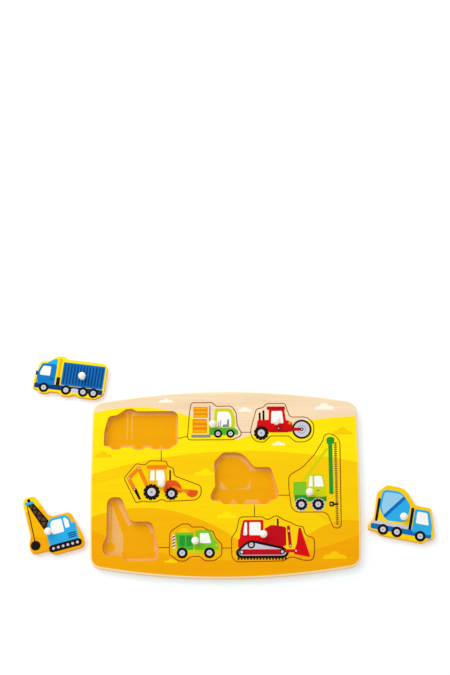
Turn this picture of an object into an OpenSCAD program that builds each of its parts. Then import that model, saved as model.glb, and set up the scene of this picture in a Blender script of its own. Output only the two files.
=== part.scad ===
// Wooden peg puzzle: a printed plywood board with nine lift-out vehicle tiles.
// Origin at the centre of the board's underside, +X to the right, +Y to the back edge, +Z up.

/* [Board] */
// Length of the board, left to right at its middle
board_length = 300; // [285:5:320]
// Width of the board, front to back at its middle
board_width = 211.5; // [204:0.5:224]
// How far the front and back edges bow out
long_edge_bow = 14; // [8:1:16]
// How far the left and right edges bow out
short_edge_bow = 1.5; // [0.5:0.5:3]
// Radius of the board's four corners
board_corner = 13; // [8:1:18]
// How far the wells sit behind the middle of the board
wells_back = 0.75; // [0:0.25:2]
// Thickness of the printed top sheet and of the tiles sawn out of it
sheet = 6; // [5:0.5:8]
// Thickness of the backing sheet
backing = 3; // [2:0.5:5]

/* [Fit] */
// Gap between a tile and the wall of its well
kerf = 0.9; // [0.5:0.1:1]
// Width of the saw slits that link the wells
slit = 0.9; // [0.5:0.1:1]
// Room under a seated tile for the printed floor of its well
seat_gap = 0.1; // [0.05:0.05:0.3]

/* [Pegs] */
// Diameter of a peg's round head
peg_head = 8.5; // [8:0.5:10]
// Height of a peg above its tile
peg_height = 12; // [11:0.5:15]
// Diameter of a peg's foot where it stands on the tile
peg_foot = 6; // [5.6:0.1:6.4]
// Diameter of the hole for a peg in its tile
peg_hole = 5; // [4:0.5:5]
// Glue gap round a peg's tenon
glue_gap = 0.05; // [0.05:0.01:0.1]
// How far a peg's tenon stops short of the tile's underside
tenon_short = 0.5; // [0.3:0.1:1]

/* [Tiles] */
// Size of the vehicles against the size of the board
vehicle_scale = 1; // [0.92:0.02:1.02]
// Distance of the truck's peg on the table from the board's left end
truck_left = 11; // [5:1:40]
// Distance of the truck's peg on the table from the middle of the board's back edge
truck_back = 18; // [17:1:45]
// Turn of the truck on the table
truck_turn = -7.5; // [-12:0.5:0]
// Distance of the crane's peg on the table from the board's left end
crane_left = 45; // [43:1:70]
// Distance of the crane's peg on the table from the board's middle, to the front
crane_front = 53.25; // [30:0.25:80]
// Turn of the crane on the table
crane_turn = 15; // [0:0.5:20]
// Distance of the mixer's peg on the table from the board's right end
mixer_right = 47; // [45:1:70]
// Distance of the mixer's peg on the table from the board's middle, to the front
mixer_front = 39.25; // [20:0.25:80]
// Turn of the mixer on the table
mixer_turn = -11; // [-16:0.5:0]

/* [Hidden] */
$fn = 64;

// Largest distance between a drawn arc and its true circle
smooth = 0.04;
// How far a cut runs past the faces that it opens
past = 1;
// Length and width of the board that the wells below are drawn for
drawn_board = [300, 211.5];
// Size of the layout of wells on this board
layout = min(board_length / drawn_board.x, board_width / drawn_board.y);
// Underside of a tile in its well, and of a tile on the table
seated = backing + seat_gap;
on_table = 0;

// Place on the board of a point of the layout
function spot(x, y) = layout * [x, y] + [0, wells_back];

// Where each peg's axis stands when its tile is in its well
truck_spot = spot(-80, 62.5);
forklift_spot = spot(-13.5, 65.5);
roller_spot = spot(58, 68.5);
backhoe_spot = spot(-70.5, -2);
mixer_spot = spot(21.5, 0.5);
rig_spot = spot(93.5, -12.5);
crane_spot = spot(-110, -60.5);
tipper_spot = spot(-33, -66);
bulldozer_spot = spot(42, -59);

// Ends of the saw slits, each end well inside the well that it opens into
slits = [
    [spot(-60, 49), spot(-34, 55)],
    [spot(10, 57.5), spot(37, 57.5)],
    [spot(-71, 46), spot(-71, 18)],
    [spot(50, -14.5), spot(79, -14.5)],
    [spot(32.5, -18), spot(32.5, -46)],
    [spot(-82, -72), spot(-53, -72)],
    [spot(-11, -73), spot(15, -73)]
];

// Corners of each well as [x, y, radius], counter-clockwise round its peg
truck_corners = [
    [-55.5, -19.5, 2], [-49, -20.5, 3], [-46, -24, 4], [-38, -24, 4], [-34.5, -21.5, 4],
    [-24.5, -21.5, 4], [-20.5, -24.5, 4], [-12, -24.5, 4], [-8.5, -22, 3], [-4.5, -22, 3],
    [-1, -24, 3], [18, -24, 4], [27.5, -17, 4], [27.5, 20, 7], [-19, 20, 4],
    [-24.5, 23, 5], [-31, 22.5, 5], [-41, 15.5, 5], [-50.5, 14.5, 6], [-55, -3, 15]
];
forklift_corners = [
    [-29, -17, 4], [22.5, -17, 6], [32, -12.5, 4], [32.5, -8, 4], [28, 0.5, 6],
    [27, 15, 10], [21.5, 23, 7], [4.5, 22.5, 4], [-0.5, 27, 3], [-24.5, 27, 4], [-26.5, 14, 40]
];
roller_corners = [
    [-29.5, -23, 12], [-13.5, -23, 7], [-6.5, -16, 4], [13.5, -16, 5], [21, -23, 8],
    [42.5, -23, 14], [42.5, 7, 13], [15.5, 6.5, 5], [10.5, 22.5, 4], [-10.5, 22.5, 5],
    [-15.5, 17.5, 4], [-22.5, 16.5, 5], [-29, -7, 8]
];
backhoe_corners = [
    [-42.5, 8, 5], [-28.5, -20.5, 3], [-20.5, -18.5, 5], [-14.5, -19.5, 6], [-5.5, -19.5, 5],
    [0, -16.5, 4], [5.5, -19, 5], [20, -18.5, 20], [44.5, -17.5, 10], [44.5, -1, 6],
    [14.5, 10.5, 5], [13.5, 19.5, 4], [7.5, 21.5, 3], [5, 27.5, 3], [-13.5, 28, 4],
    [-19, 23, 4], [-28.5, 25, 4]
];
mixer_corners = [
    [-37.5, -20.5, 4], [-27, -21, 4], [-22.5, -24.5, 4], [25, -25, 6], [31.5, -20, 4],
    [37.5, -18, 3], [37.5, -10, 12], [29.5, 17, 5], [11.5, 17, 6], [-2.5, 34, 18],
    [-23.5, 34, 6], [-33.5, 23.5, 7], [-32.5, -4, 6], [-37.5, -14, 4]
];
rig_corners = [
    [-23, 5, 40], [-20, -21.5, 10], [19, -21.5, 8], [25.5, -39.5, 5], [35, -39.5, 5],
    [36, 68, 13], [18, 68, 6], [16, 60, 12], [6, 44, 30], [-7, 30, 25], [-23, 20.5, 8]
];
crane_corners = [
    [-25, -20, 7], [-6, -20, 5], [0.5, -26.5, 8], [36.5, -26.5, 7], [36.5, -11, 14],
    [29, 17.5, 7], [5.5, 17.5, 7], [-5, 45, 7], [-21, 45, 8], [-21, 1, 10], [-25, -7.5, 6]
];
tipper_corners = [
    [-29, -14, 3], [-18.5, -21.5, 6], [-11, -21.5, 6], [-4.5, -16.5, 6], [4.5, -16.5, 6],
    [10.5, -21.5, 6], [20.5, -21.5, 8], [29.5, -15.5, 6], [29.5, -2.5, 5], [22.5, 5, 8],
    [20, 12, 4], [13, 14, 4], [8.5, 17, 4], [-3.5, 17, 3], [-7, 20.5, 4], [-15, 20.5, 5],
    [-28.5, 12, 8]
];
bulldozer_corners = [
    [-35.5, -30, 9], [21.5, -29, 8], [28.5, -25, 6], [33, -25, 6], [44, -28.5, 8],
    [54, -28.5, 5], [56.5, -20, 8], [56.5, -3.5, 5], [46.5, 0.5, 5], [44.5, 9.5, 3],
    [36.5, 11, 5], [29.5, 15, 5], [24.5, 16.5, 5], [15.5, 22, 4], [11.5, 21.5, 3],
    [5, 17, 5], [-1, 21, 5], [-26.5, 21, 5], [-30, 5.5, 8], [-35.5, -2.5, 7]
];

// Where the three tiles on the table stand
truck_parked = [-board_length / 2 - truck_left, board_width / 2 + truck_back, on_table];
crane_parked = [-board_length / 2 - crane_left, -crane_front, on_table];
mixer_parked = [board_length / 2 + mixer_right, -mixer_front, on_table];

// Points along an arc, close enough to its circle
function arc(centre, radius, from, turn) =
    let (steps = max(1, ceil(abs(turn) / (2 * acos(1 - smooth / max(radius, smooth))))))
    [for (i = [0:steps]) centre + radius * [cos(from + turn * i / steps), sin(from + turn * i / steps)]];

// Direction from one corner to the next, and the direction to its left
function heading(a, b) = [b.x - a.x, b.y - a.y] / norm([b.x - a.x, b.y - a.y]);
function left_of(u) = [-u.y, u.x];

// One rounded corner of an outline that is drawn in by a gap
function rounded_corner(before, corner, after, gap) =
    let (
        u = heading(before, corner),
        v = heading(corner, after),
        turn = atan2(cross(u, v), u * v),
        side = sign(turn),
        radius = corner[2] - side * gap,
        drawn_in = [corner.x, corner.y] + gap * (left_of(u) + left_of(v)) / (1 + u * v),
        start = drawn_in - radius * tan(abs(turn) / 2) * u,
        centre = start + side * radius * left_of(u),
        spoke = start - centre
    )
    arc(centre, radius, atan2(spoke.y, spoke.x), turn);

// A whole outline of rounded corners, counter-clockwise, drawn in by a gap
function outline(corners, gap) =
    let (n = len(corners))
    [
        for (i = [0:n - 1])
            for (point = rounded_corner(corners[(i + n - 1) % n], corners[i], corners[(i + 1) % n], gap))
                point
    ];

// Corners of a well at the size that this board gives it
function sized(corners) = corners * layout * vehicle_scale;

// Radius of an edge that bows out by a given amount over a given chord
function bowed_radius(chord, bow) = (chord * chord / 4 + bow * bow) / (2 * bow);

// Where two circles meet, on the left of the line from the first centre to the second
function circles_meet(a, ra, b, rb) =
    let (
        gap = norm(b - a),
        along = (ra * ra - rb * rb + gap * gap) / (2 * gap),
        u = (b - a) / gap
    )
    a + along * u + sqrt(ra * ra - along * along) * left_of(u);

// Quarter of the board's rim, from its right end to its back edge
function rim_quarter() =
    let (
        long_r = bowed_radius(board_length, long_edge_bow),
        short_r = bowed_radius(board_width - 2 * long_edge_bow, short_edge_bow),
        long_c = [0, board_width / 2 - long_r],
        short_c = [board_length / 2 - short_r, 0],
        corner_c = circles_meet(short_c, short_r - board_corner, long_c, long_r - board_corner),
        short_way = corner_c - short_c,
        long_way = corner_c - long_c,
        short_a = atan2(short_way.y, short_way.x),
        long_a = atan2(long_way.y, long_way.x)
    )
    concat(
        arc(short_c, short_r, 0, short_a),
        arc(corner_c, board_corner, short_a, long_a - short_a),
        arc(long_c, long_r, long_a, 90 - long_a)
    );

// The whole rim, counter-clockwise, with no point twice
function board_rim() =
    let (
        quarter = rim_quarter(),
        n = len(quarter),
        half = concat(quarter, [for (i = [n - 2:-1:0]) [-quarter[i].x, quarter[i].y]])
    )
    concat(half, [for (i = [len(half) - 2:-1:1]) [half[i].x, -half[i].y]]);

module well(place, corners) {
    translate(place)
        polygon(outline(sized(corners), 0));
}

module all_wells() {
    well(truck_spot, truck_corners);
    well(forklift_spot, forklift_corners);
    well(roller_spot, roller_corners);
    well(backhoe_spot, backhoe_corners);
    well(mixer_spot, mixer_corners);
    well(rig_spot, rig_corners);
    well(crane_spot, crane_corners);
    well(tipper_spot, tipper_corners);
    well(bulldozer_spot, bulldozer_corners);
}

module saw_slit(ends) {
    run = ends[1] - ends[0];
    translate(ends[0])
        rotate(atan2(run.y, run.x))
            translate([0, -slit / 2])
                square([norm(run), slit]);
}

// A tile, sawn out a kerf smaller than its well, with the hole for its peg
module tile(corners) {
    difference() {
        linear_extrude(sheet)
            polygon(outline(sized(corners), kerf));
        translate([0, 0, -past])
            cylinder(d = peg_hole, h = sheet + 2 * past);
    }
}

// A turned peg: tenon in the tile, tapered foot and round head on it
module peg() {
    color("white") {
        translate([0, 0, tenon_short])
            cylinder(d = peg_hole - 2 * glue_gap, h = sheet - tenon_short);
        translate([0, 0, sheet])
            cylinder(d1 = peg_foot, d2 = peg_head, h = peg_height - peg_head / 2);
        translate([0, 0, sheet + peg_height - peg_head / 2])
            sphere(d = peg_head);
    }
}

// Stand a tile or peg in its well
module in_well(place) {
    translate([place.x, place.y, seated])
        children();
}

// Lay a tile or peg on the table
module on_the_table(place, turn) {
    translate(place)
        rotate(turn)
            children();
}

module backing_board() {
    color("burlywood")
        linear_extrude(backing)
            polygon(board_rim());
}

module top_board() {
    color("gold")
        translate([0, 0, backing])
            linear_extrude(sheet)
                difference() {
                    polygon(board_rim());
                    all_wells();
                    for (ends = slits) saw_slit(ends);
                }
}

module truck_tile() {
    color("royalblue") on_the_table(truck_parked, truck_turn) tile(truck_corners);
}

module forklift_tile() {
    color("yellowgreen") in_well(forklift_spot) tile(forklift_corners);
}

module roller_tile() {
    color("red") in_well(roller_spot) tile(roller_corners);
}

module backhoe_tile() {
    color("orange") in_well(backhoe_spot) tile(backhoe_corners);
}

module mixer_tile() {
    color("skyblue") on_the_table(mixer_parked, mixer_turn) tile(mixer_corners);
}

module rig_tile() {
    color("limegreen") in_well(rig_spot) tile(rig_corners);
}

module crane_tile() {
    color("deepskyblue") on_the_table(crane_parked, crane_turn) tile(crane_corners);
}

module tipper_tile() {
    color("forestgreen") in_well(tipper_spot) tile(tipper_corners);
}

module bulldozer_tile() {
    color("firebrick") in_well(bulldozer_spot) tile(bulldozer_corners);
}

module truck_peg() {
    on_the_table(truck_parked, truck_turn) peg();
}

module forklift_peg() {
    in_well(forklift_spot) peg();
}

module roller_peg() {
    in_well(roller_spot) peg();
}

module backhoe_peg() {
    in_well(backhoe_spot) peg();
}

module mixer_peg() {
    on_the_table(mixer_parked, mixer_turn) peg();
}

module rig_peg() {
    in_well(rig_spot) peg();
}

module crane_peg() {
    on_the_table(crane_parked, crane_turn) peg();
}

module tipper_peg() {
    in_well(tipper_spot) peg();
}

module bulldozer_peg() {
    in_well(bulldozer_spot) peg();
}

backing_board();
top_board();
truck_tile();
forklift_tile();
roller_tile();
backhoe_tile();
mixer_tile();
rig_tile();
crane_tile();
tipper_tile();
bulldozer_tile();
truck_peg();
forklift_peg();
roller_peg();
backhoe_peg();
mixer_peg();
rig_peg();
crane_peg();
tipper_peg();
bulldozer_peg();
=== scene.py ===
"""Looks of a wooden peg puzzle: a printed board, nine lift-out vehicle tiles and their turned pegs.

Sizes and places are millimetres unless a comment says otherwise. Meshes are made in metres, in the frame
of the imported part. A tile's own drawing has its peg's axis at (0, 0), with +Y to the back of the board.
"""

import logging
import math
from collections.abc import Callable, Sequence
from dataclasses import dataclass, field, fields
from enum import Enum

import bmesh
import bpy
from mathutils import Matrix, Vector


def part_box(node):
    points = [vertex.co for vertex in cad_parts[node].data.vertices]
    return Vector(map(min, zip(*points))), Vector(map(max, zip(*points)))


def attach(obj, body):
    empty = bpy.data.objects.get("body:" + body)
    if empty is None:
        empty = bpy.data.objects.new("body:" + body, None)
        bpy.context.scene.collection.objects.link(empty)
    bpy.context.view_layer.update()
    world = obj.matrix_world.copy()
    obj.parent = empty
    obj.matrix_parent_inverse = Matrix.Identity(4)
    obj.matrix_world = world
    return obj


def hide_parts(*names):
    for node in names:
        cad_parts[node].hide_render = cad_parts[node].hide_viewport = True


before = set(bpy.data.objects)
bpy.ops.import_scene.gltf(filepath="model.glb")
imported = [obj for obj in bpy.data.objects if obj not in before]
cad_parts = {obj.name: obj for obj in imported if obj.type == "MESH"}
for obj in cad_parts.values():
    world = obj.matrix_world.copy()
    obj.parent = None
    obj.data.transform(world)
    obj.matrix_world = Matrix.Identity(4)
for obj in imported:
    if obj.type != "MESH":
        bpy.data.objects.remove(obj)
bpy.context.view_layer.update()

LOG = logging.getLogger("peg_puzzle")
MM = 0.001
# Attribute that holds where a vertex would lie with its tile in the board, in metres
BOARD_PLACE = "board_place"
# Points nearer to each other than this count as one, in metres
TOUCH = 0.001 * MM
# A face whose normal has less height than this is a wall
WALL = 0.5
# A tile that rests in its well, which gives the height of every seat
SEATED_TILE = "roller_tile"
# Faces across a rounded corner of a print, and sides of a round spot
CORNER_STEPS = 4
DISC_SIDES = 40
HERE = Matrix.Identity(4)

Point = tuple[float, float]
Segment = tuple[Point, Point]
Span = tuple[float, float]
Triple = tuple[float, float, float]
Light = tuple[float, float, float, float]
Socket = bpy.types.NodeSocket
Value = float | tuple[float, ...] | Socket
Axes = bpy.types.NodeOutputs
Material = bpy.types.Material
Materials = Sequence[Material]
Object = bpy.types.Object
Shape = bmesh.types.BMesh
Element = bmesh.types.BMEdge | bmesh.types.BMVert
Faces = list[bmesh.types.BMFace]
Chooser = Callable[[Vector], bool]

WHOLE: Span = (0.0, 1.0)


class Tone(Enum):
    """A colour as the eye sees it: red, green and blue, 0 to 255."""

    @property
    def light(self) -> Light:
        """Gives the light that the colour sends back, by the sRGB curve, with an alpha of one."""
        parts = [part / 255 for part in self.value]
        return (*(p / 12.92 if p <= 0.04045 else ((p + 0.055) / 1.055) ** 2.4 for p in parts), 1.0)


class Ink(Tone):
    """The printing inks."""

    BLACK = (25, 19, 18)
    WHITE = (252, 250, 246)
    SILVER = (206, 203, 214)
    GREY = (139, 141, 152)
    BROWN = (132, 88, 44)
    UMBER = (92, 62, 48)
    NAVY = (8, 56, 116)
    BLUE = (12, 110, 186)
    AZURE = (14, 124, 198)
    SKY = (44, 174, 232)
    PALE_BLUE = (150, 208, 240)
    RED = (217, 7, 19)
    CRIMSON = (194, 8, 24)
    ORANGE = (242, 134, 12)
    EMBER = (228, 84, 20)
    GREEN = (78, 182, 46)
    FOREST = (36, 153, 48)
    LEAF = (124, 198, 40)
    LIME = (205, 214, 12)
    CLOUD = (255, 247, 228)
    LEMON = (255, 233, 6)
    YELLOW = (251, 215, 4)
    GOLD = (249, 207, 4)
    AMBER = (246, 184, 2)
    TANGERINE = (242, 169, 0)


class Ground(Tone):
    """The bare materials; the well floor and sawn edge tones hold painted shade and bounce light."""

    BIRCH = (250, 226, 190)
    BIRCH_PORE = (235, 203, 163)
    SAPWOOD = (254, 231, 188)
    CROSS_PLY = (216, 174, 128)
    # Birch of the well floors, darker and oranger than the face: painted shade and painted orange bounce
    # light
    WELL = (240, 184, 100)
    WELL_PORE = (230, 168, 82)
    # Sawn edges of wells and tiles: the birch edge's tone with painted orange bounce light from the printed
    # floors
    SAWN = (241, 162, 38)
    SAWN_CROSS = (214, 137, 30)
    PEG_WHITE = (255, 252, 243)
    PEG_SHADE = (251, 246, 233)
    FLOOR = (243, 250, 254)
    FLOOR_SHADE = (239, 246, 250)


@dataclass(frozen=True)
class Streaks:
    """One layer of birch grain: cycles a metre along and across it, and the part of its noise that shows."""

    along: float
    across: float
    detail: float
    shows: Span
    depth: float


# The figure, the streaks and the pores of a peeled sheet
GRAIN = (
    Streaks(along=5.0, across=70.0, detail=2.0, shows=(0.38, 0.68), depth=0.45),
    Streaks(along=14.0, across=420.0, detail=3.0, shows=(0.45, 0.72), depth=0.4),
    Streaks(along=60.0, across=1900.0, detail=2.0, shows=(0.52, 0.75), depth=0.3),
)


class Shader:
    """A node material under construction, with a Principled surface at its end."""

    # Inputs and output of a Mix node that mixes colours
    MIX_FACTOR, MIX_UNDER, MIX_OVER, MIX_RESULT = 0, 6, 7, 2

    def __init__(self, name: str) -> None:
        """Starts a material.

        Args:
            name: Name of the material.
        """
        self.material = bpy.data.materials.new(name)
        self.material.use_nodes = True
        self.tree = self.material.node_tree
        self.surface = self.tree.nodes["Principled BSDF"]

    def feed(self, socket: Socket, value: Value) -> None:
        """Links a socket to another one, or sets its own value.

        Args:
            socket: Input to fill.
            value: Output to link, or a number or colour to set.
        """
        if isinstance(value, Socket):
            self.tree.links.new(value, socket)
        else:
            socket.default_value = value

    def add(self, kind: str, inputs: dict[str | int, Value], **options: object) -> bpy.types.Node:
        """Adds a node.

        Args:
            kind: Type name of the node.
            inputs: What goes into each input, by its name or number.
            options: Settings of the node itself.

        Returns:
            The new node.
        """
        node = self.tree.nodes.new(kind)
        for option, choice in options.items():
            setattr(node, option, choice)
        for key, value in inputs.items():
            self.feed(node.inputs[key], value)
        return node

    def dress(self, **inputs: Value) -> Material:
        """Fills the surface's inputs and hands over the material.

        Args:
            inputs: Values or sockets, with an underscore for each space in an input's name.

        Returns:
            The finished material.
        """
        for name, value in inputs.items():
            self.feed(self.surface.inputs[name.replace("_", " ")], value)
        return self.material

    def board_place(self) -> Socket:
        """Gives the stored place on the board of each point."""
        return self.add("ShaderNodeAttribute", {}, attribute_name=BOARD_PLACE).outputs["Vector"]

    def own_place(self) -> Socket:
        """Gives each point's place in the frame of the part."""
        return self.add("ShaderNodeTexCoord", {}).outputs["Object"]

    def axes(self, place: Socket) -> Axes:
        """Splits a place into X, Y and Z."""
        return self.add("ShaderNodeSeparateXYZ", {0: place}).outputs

    def maths(self, operation: str, *values: Value) -> Socket:
        """Works out one number from up to three, by an operation of the Math node."""
        return self.add("ShaderNodeMath", dict(enumerate(values)), operation=operation).outputs[0]

    def noise(self, place: Socket, stretch: Triple, detail: float) -> Socket:
        """Makes a soft pattern of about 0 to 1, with that many blotches a metre along X, Y and Z."""
        spread = self.add("ShaderNodeMapping", {"Vector": place, "Scale": stretch}).outputs[0]
        return self.add("ShaderNodeTexNoise", {"Vector": spread, "Scale": 1.0, "Detail": detail}).outputs[0]

    def span(self, value: Socket, given: Span, wanted: Span) -> Socket:
        """Carries a number from one span to another and stops it at the ends."""
        return self.add("ShaderNodeMapRange", dict(enumerate((value, *given, *wanted)))).outputs[0]

    def mix(self, factor: Socket, under: Value, over: Value, blend: str = "MIX") -> Socket:
        """Lays one colour over another, as far as a factor of 0 to 1 says."""
        inputs = {self.MIX_FACTOR: factor, self.MIX_UNDER: under, self.MIX_OVER: over}
        return self.add("ShaderNodeMix", inputs, data_type="RGBA", blend_type=blend).outputs[self.MIX_RESULT]

    def bump(self, pattern: Socket, height: float) -> Socket:
        """Bends the normal by a pattern of 0 to 1 that stands that many millimetres high."""
        return self.add("ShaderNodeBump", {"Height": pattern, "Distance": height * MM}).outputs[0]

    def wood_grain(self, place: Socket) -> Socket:
        """Makes the grain of a peeled birch sheet, which runs along X.

        Args:
            place: Where each point is.

        Returns:
            The socket with the grain, from 0 in clear wood to 1 in a pore.
        """
        grain: Value = 0.0
        for layer in GRAIN:
            noise = self.noise(place, (layer.along, layer.across, layer.across), layer.detail)
            grain = self.maths("ADD", grain, self.span(noise, layer.shows, (0.0, layer.depth)))
        return grain


@dataclass(frozen=True)
class BirchFace:
    """Bare face of a birch sheet."""

    name: str
    clear: Ground
    pore: Ground
    rough: Span = (0.5, 0.72)
    shine: float = 0.3
    relief: float = 0.02

    def material(self) -> Material:
        """Makes the material.

        Returns:
            The finished material.
        """
        shader = Shader(self.name)
        grain = shader.wood_grain(shader.board_place())
        return shader.dress(
            Base_Color=shader.mix(grain, self.clear.light, self.pore.light),
            Roughness=shader.span(grain, WHOLE, self.rough),
            Specular_IOR_Level=self.shine,
            Normal=shader.bump(grain, self.relief),
        )


@dataclass(frozen=True)
class BirchEdge:
    """Edge of a birch sheet, where its crossed plies show as bands from the foot of the sheet up."""

    name: str
    along: Ground
    across: Ground
    ply: float = 1.2
    foot: float = 3.0
    blend: Span = (-0.25, 0.25)
    fibres: Triple = (900.0, 900.0, 2600.0)
    detail: float = 3.0
    shows: Span = (0.3, 0.7)
    depth: Span = (0.45, 1.0)
    rough: Span = (0.55, 0.75)
    shine: float = 0.05
    relief: float = 0.03

    def material(self) -> Material:
        """Makes the material.

        Returns:
            The finished material.
        """
        shader = Shader(self.name)
        place = shader.board_place()
        height = shader.axes(place)["Z"]
        start = -math.pi * self.foot / self.ply
        turns = shader.maths("MULTIPLY_ADD", height, math.pi / (self.ply * MM), start)
        band = shader.span(shader.maths("SINE", turns), self.blend, (1.0, 0.0))
        fibres = shader.noise(place, self.fibres, self.detail)
        tone = shader.maths("MULTIPLY", band, shader.span(fibres, self.shows, self.depth))
        return shader.dress(
            Base_Color=shader.mix(tone, self.along.light, self.across.light),
            Roughness=shader.span(fibres, self.shows, self.rough),
            Specular_IOR_Level=self.shine,
            Normal=shader.bump(fibres, self.relief),
        )


@dataclass(frozen=True)
class PrintedInk:
    """A printed ink with the grain of the wood showing faintly through it, more in some patches than others.

    Where it is worn it keeps a share of its light, and a trace of chalk lightens it.
    """

    ink: Ink
    show_through: float = 0.32
    kept: float = 0.84
    chalk: float = 0.004
    patches: Triple = (90.0, 90.0, 90.0)
    detail: float = 2.0
    shows: Span = (0.3, 0.7)
    depth: Span = (1.0, 2.0)
    rough: Span = (0.36, 0.55)
    shine: float = 0.04
    relief: float = 0.008

    def material(self) -> Material:
        """Makes the material.

        Returns:
            The finished material.
        """
        shader = Shader(f"ink_{self.ink.name.lower()}")
        place = shader.board_place()
        grain = shader.wood_grain(place)
        patches = shader.noise(place, self.patches, self.detail)
        fresh = self.ink.light
        worn = (*(self.kept * part + self.chalk for part in fresh[:3]), 1.0)
        wear = shader.maths("MULTIPLY", grain, shader.span(patches, self.shows, self.depth))
        return shader.dress(
            Base_Color=shader.mix(shader.maths("MULTIPLY", wear, self.show_through), fresh, worn),
            Roughness=shader.span(grain, WHOLE, self.rough),
            Specular_IOR_Level=self.shine,
            Normal=shader.bump(grain, self.relief),
        )


@dataclass(frozen=True)
class Hill:
    """A hill of the printed scene, filled below a parabola that drops that far within its reach."""

    ink: Ink
    crest: Point
    reach: float
    drop: float

    def mask(self, shader: Shader, axes: Axes) -> Socket:
        """Masks what lies under the hill's line.

        Args:
            shader: Material under construction.
            axes: Place on the board, split into its axes.

        Returns:
            The socket with the mask, 0 or 1.
        """
        run = shader.maths("MULTIPLY_ADD", axes["X"], 1 / (self.reach * MM), -self.crest[0] / self.reach)
        fall = shader.maths("MULTIPLY", run, run)
        line = shader.maths("MULTIPLY_ADD", fall, -self.drop * MM, self.crest[1] * MM)
        return shader.maths("LESS_THAN", axes["Y"], line)


@dataclass(frozen=True)
class Puff:
    """Round lobes on one flat base that together make a cloud or a bush: X, Y and radius of each."""

    ink: Ink
    base: float
    lobes: tuple[Triple, ...]

    def mask(self, shader: Shader, axes: Axes) -> Socket:
        """Masks the lobes above their base.

        Args:
            shader: Material under construction.
            axes: Place on the board, split into its axes.

        Returns:
            The socket with the mask, 0 or 1.
        """
        flat = shader.add("ShaderNodeCombineXYZ", {0: axes["X"], 1: axes["Y"]}).outputs[0]
        nearest: Value = 1.0
        for x, y, radius in self.lobes:
            middle = (x * MM, y * MM, 0.0)
            away = shader.add("ShaderNodeVectorMath", {0: flat, 1: middle}, operation="DISTANCE")
            share = shader.maths("DIVIDE", away.outputs["Value"], radius * MM)
            nearest = shader.maths("MINIMUM", nearest, share)
        above = shader.maths("GREATER_THAN", axes["Y"], self.base * MM)
        return shader.maths("MULTIPLY", shader.maths("LESS_THAN", nearest, 1.0), above)


@dataclass(frozen=True)
class PrintedScene:
    """Rolling hills, bushes and clouds printed over the board and its tiles, with bare wood for the sky."""

    name: str = "printed_scene"
    hills: tuple[Hill, ...] = (
        Hill(Ink.LEMON, (-100, 88), 100, 30),
        Hill(Ink.LEMON, (152, 76), 120, 20),
        Hill(Ink.GOLD, (22, 37), 150, 20),
        Hill(Ink.YELLOW, (-62, 12), 120, 26),
        Hill(Ink.AMBER, (-92, -27), 90, 26),
        Hill(Ink.AMBER, (136, -42), 60, 30),
        Hill(Ink.TANGERINE, (8, -86), 150, -32),
    )
    puffs: tuple[Puff, ...] = (
        Puff(Ink.CLOUD, 82, ((22.5, 83, 4.5), (27.5, 82, 3), (17.8, 82, 3))),
        Puff(Ink.CLOUD, 84, ((112, 86, 5.5), (119, 84.5, 4), (105.5, 84.5, 3.6))),
        Puff(Ink.CLOUD, 93, ((-66, 94, 4), (-71, 93, 2.8), (-61, 93, 3))),
        Puff(Ink.CLOUD, 43, ((60, 44, 3.6), (65, 43, 2.6), (55.5, 43, 2.4))),
        Puff(Ink.LEMON, 9, ((-22, 11, 6), (-29.5, 9, 4.5), (-15, 9, 4))),
        Puff(Ink.LEMON, -39, ((2, -37, 5.5), (-5, -39, 4), (9, -39, 3.6))),
        Puff(Ink.GOLD, 55, ((132, 57, 6), (139, 55, 4.2), (124.5, 55, 4.4))),
        Puff(Ink.GOLD, 30, ((-136, 32, 5.5), (-142, 30, 3.8), (-129.5, 30, 4))),
        Puff(Ink.GOLD, -85, ((120, -83, 6.5), (128.5, -85, 4.6), (111.5, -85, 4.8))),
        Puff(Ink.YELLOW, -88, ((-60, -87, 3.4), (-64.8, -88, 2.4), (-55.4, -88, 2.4))),
    )
    show_through: float = 0.2
    rough: Span = (0.38, 0.58)
    shine: float = 0.04
    relief: float = 0.01

    def material(self) -> Material:
        """Makes the material.

        Returns:
            The finished material.
        """
        shader = Shader(self.name)
        place = shader.board_place()
        axes = shader.axes(place)
        grain = shader.wood_grain(place)
        colour = shader.mix(grain, Ground.BIRCH.light, Ground.BIRCH_PORE.light)
        bare: Value = 1.0
        for hill in self.hills:
            mask = hill.mask(shader, axes)
            colour = shader.mix(mask, colour, hill.ink.light)
            bare = shader.maths("MULTIPLY", bare, shader.maths("SUBTRACT", 1.0, mask))
        for puff in self.puffs:
            colour = shader.mix(puff.mask(shader, axes), colour, puff.ink.light)
        printed = shader.maths("SUBTRACT", 1.0, bare)
        through = shader.maths("MULTIPLY", shader.maths("MULTIPLY", grain, printed), self.show_through)
        # Grain under the print is tinted with the sawn edge colour, which holds painted orange bounce light
        return shader.dress(
            Base_Color=shader.mix(through, colour, Ground.SAWN.light, "MULTIPLY"),
            Roughness=shader.span(grain, WHOLE, self.rough),
            Specular_IOR_Level=self.shine,
            Normal=shader.bump(grain, self.relief),
        )


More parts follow.
